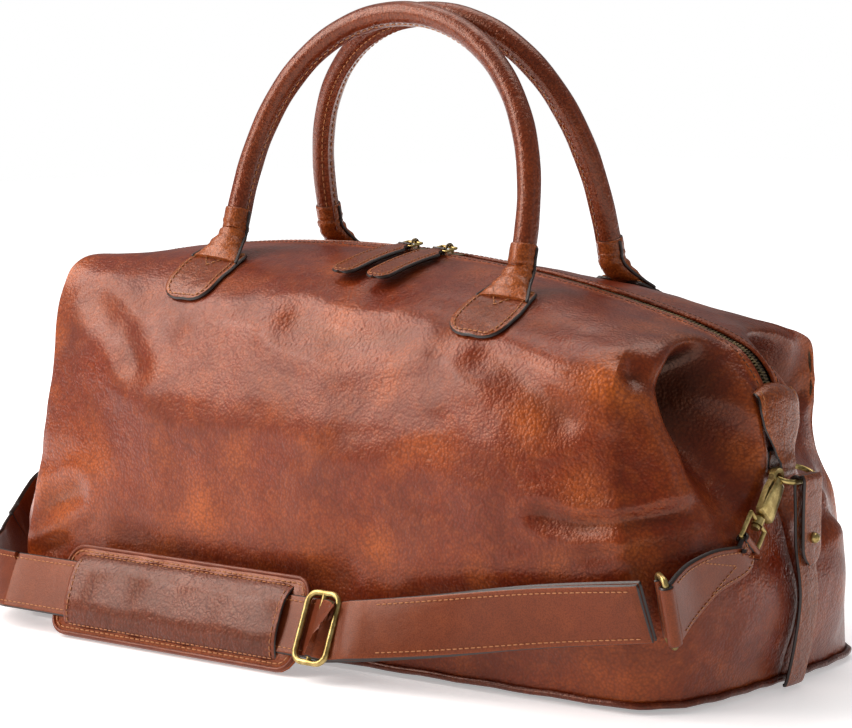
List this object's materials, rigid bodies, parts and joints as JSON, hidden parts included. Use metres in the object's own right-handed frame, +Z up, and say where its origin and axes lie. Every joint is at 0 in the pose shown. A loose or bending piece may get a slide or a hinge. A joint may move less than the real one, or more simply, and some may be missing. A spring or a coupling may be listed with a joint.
{
  "type": "weekender bag",
  "caption": "Soft leather weekender bag with a curved top zip, rolled handles, ringed ends and a padded shoulder strap that clips on.",
  "frame": {"origin": "centre of the flat base, on the surface the bag stands on", "axes": "+X along the bag's length, towards the end with the rectangular strap ring; -Y is the front, where the strap lies; +Z up"},
  "size_m": [0.6372, 0.315, 0.4382],
  "materials": {
    "body_leather": "glossy cognac full-grain leather",
    "patch_leather": "glossy brown leather, black edges",
    "strap_leather": "smooth brown leather, stitched",
    "handle_leather": "pebbled brown leather",
    "base_board": "stiff board",
    "lining": "cotton twill",
    "zip_tape": "woven tape",
    "zip_metal": "dark antique metal",
    "antique_brass": "antique brass",
    "rope_core": "twisted cord",
    "foam": "dense foam"
  },
  "bodies": {
    "bag": {"front_panel": "body_leather", "back_panel": "body_leather", "base_panel": "body_leather", "base_board": "base_board", "base_welt": "patch_leather", "lining": "lining", "lining_floor": "lining", "zip_tape_front": "zip_tape", "zip_tape_back": "zip_tape", "zip_teeth_front": "zip_metal", "zip_teeth_back": "zip_metal", "patch_front_left": "patch_leather", "patch_front_right": "patch_leather", "patch_back_left": "patch_leather", "patch_back_right": "patch_leather", "zip_end_tab_left": "patch_leather", "zip_end_tab_right": "patch_leather", "ring_left": "antique_brass", "ring_right": "antique_brass", "end_strap_left": "strap_leather", "end_strap_right": "strap_leather", "stud_left": "antique_brass", "stud_right": "antique_brass"},
    "handle_front": {"handle_cover_front": "handle_leather", "handle_core_front": "rope_core"},
    "handle_back": {"handle_cover_back": "handle_leather", "handle_core_back": "rope_core"},
    "slider_left": {"slider_left": "zip_metal"},
    "pull_left": {"pull_link_left": "zip_metal", "pull_tab_left": "patch_leather"},
    "slider_right": {"slider_right": "zip_metal"},
    "pull_right": {"pull_link_right": "zip_metal", "pull_tab_right": "patch_leather"},
    "shoulder_strap": {"long_strap": "strap_leather", "strap_return": "strap_leather", "strap_buckle": "antique_brass", "rect_ring": "antique_brass", "chape_left": "strap_leather", "chape_right": "strap_leather", "swivel_eye_left": "antique_brass", "swivel_eye_right": "antique_brass"},
    "shoulder_pad": {"pad_base": "strap_leather", "pad_foam": "foam", "pad_sleeve": "strap_leather"},
    "hook_left": {"hook_body_left": "antique_brass", "trigger_pin_left": "antique_brass"},
    "trigger_left": {"trigger_left": "antique_brass"},
    "end_flap_left": {"end_flap_left": "strap_leather"},
    "hook_right": {"hook_body_right": "antique_brass", "trigger_pin_right": "antique_brass"},
    "trigger_right": {"trigger_right": "antique_brass"},
    "end_flap_right": {"end_flap_right": "strap_leather"}
  },
  "joints": [
    {"name": "handle_front_fall", "type": "hinge", "parent": "bag", "child": "handle_front", "pos_m": [0, -0.054, 0.26866], "axis": [-0.9979, 0, 0.064], "range_deg": [-84, 0]},
    {"name": "handle_back_fall", "type": "hinge", "parent": "bag", "child": "handle_back", "pos_m": [0, 0.054, 0.26866], "axis": [-0.9979, 0, 0.064], "range_deg": [0, 84]},
    {"name": "slider_left_run", "type": "hinge", "parent": "bag", "child": "slider_left", "pos_m": [-0.07, 0, -0.828], "axis": [0, 1, 0], "range_deg": [-10.44, 0], "deforming": ["pull_tab_left"]},
    {"name": "pull_left_swing", "type": "hinge", "parent": "slider_left", "child": "pull_left", "pos_m": [-0.00486, 0, 0.27247], "axis": [-0.9983, 0, 0.0591], "range_deg": [0, 150]},
    {"name": "slider_right_run", "type": "hinge", "parent": "bag", "child": "slider_right", "pos_m": [-0.07, 0, -0.828], "axis": [0, 1, 0], "range_deg": [0, 9.52], "deforming": ["pull_tab_right"]},
    {"name": "pull_right_swing", "type": "hinge", "parent": "slider_right", "child": "pull_right", "pos_m": [0.02521, 0, 0.27028], "axis": [-0.9963, 0, 0.0864], "range_deg": [0, 150]},
    {"name": "strap_swing", "type": "hinge", "parent": "bag", "child": "shoulder_strap", "pos_m": [0, -0.02, 0.137], "axis": [-1, 0, 0], "range_deg": [0, 75]},
    {"name": "pad_slide", "type": "slide", "parent": "shoulder_strap", "child": "shoulder_pad", "axis": [-0.9999, 0.0131, 0], "range_m": [0, 0.03]},
    {"name": "hook_left_swivel", "type": "hinge", "parent": "shoulder_strap", "child": "hook_left", "pos_m": [-0.29856, -0.02, 0.137], "axis": [0, -0.6561, -0.7547], "range_deg": [-8, 8]},
    {"name": "trigger_left_press", "type": "hinge", "parent": "hook_left", "child": "trigger_left", "pos_m": [-0.29856, -0.02833, 0.12437], "axis": [1, 0, 0], "range_deg": [0, 12], "stiffness_Nm_per_rad": 0.02, "springref_deg": -20.05},
    {"name": "end_flap_left_lift", "type": "hinge", "parent": "bag", "child": "end_flap_left", "pos_m": [-0.30701, 0, 0.13392], "axis": [0, 1, 0], "range_deg": [0, 60]},
    {"name": "hook_right_swivel", "type": "hinge", "parent": "shoulder_strap", "child": "hook_right", "pos_m": [0.29856, -0.02, 0.137], "axis": [0, -0.6561, -0.7547], "range_deg": [-8, 8]},
    {"name": "trigger_right_press", "type": "hinge", "parent": "hook_right", "child": "trigger_right", "pos_m": [0.29856, -0.02833, 0.12437], "axis": [1, 0, 0], "range_deg": [0, 12], "stiffness_Nm_per_rad": 0.02, "springref_deg": -20.05},
    {"name": "end_flap_right_lift", "type": "hinge", "parent": "bag", "child": "end_flap_right", "pos_m": [0.30701, 0, 0.13392], "axis": [0, -1, 0], "range_deg": [0, 60]}
  ]
}
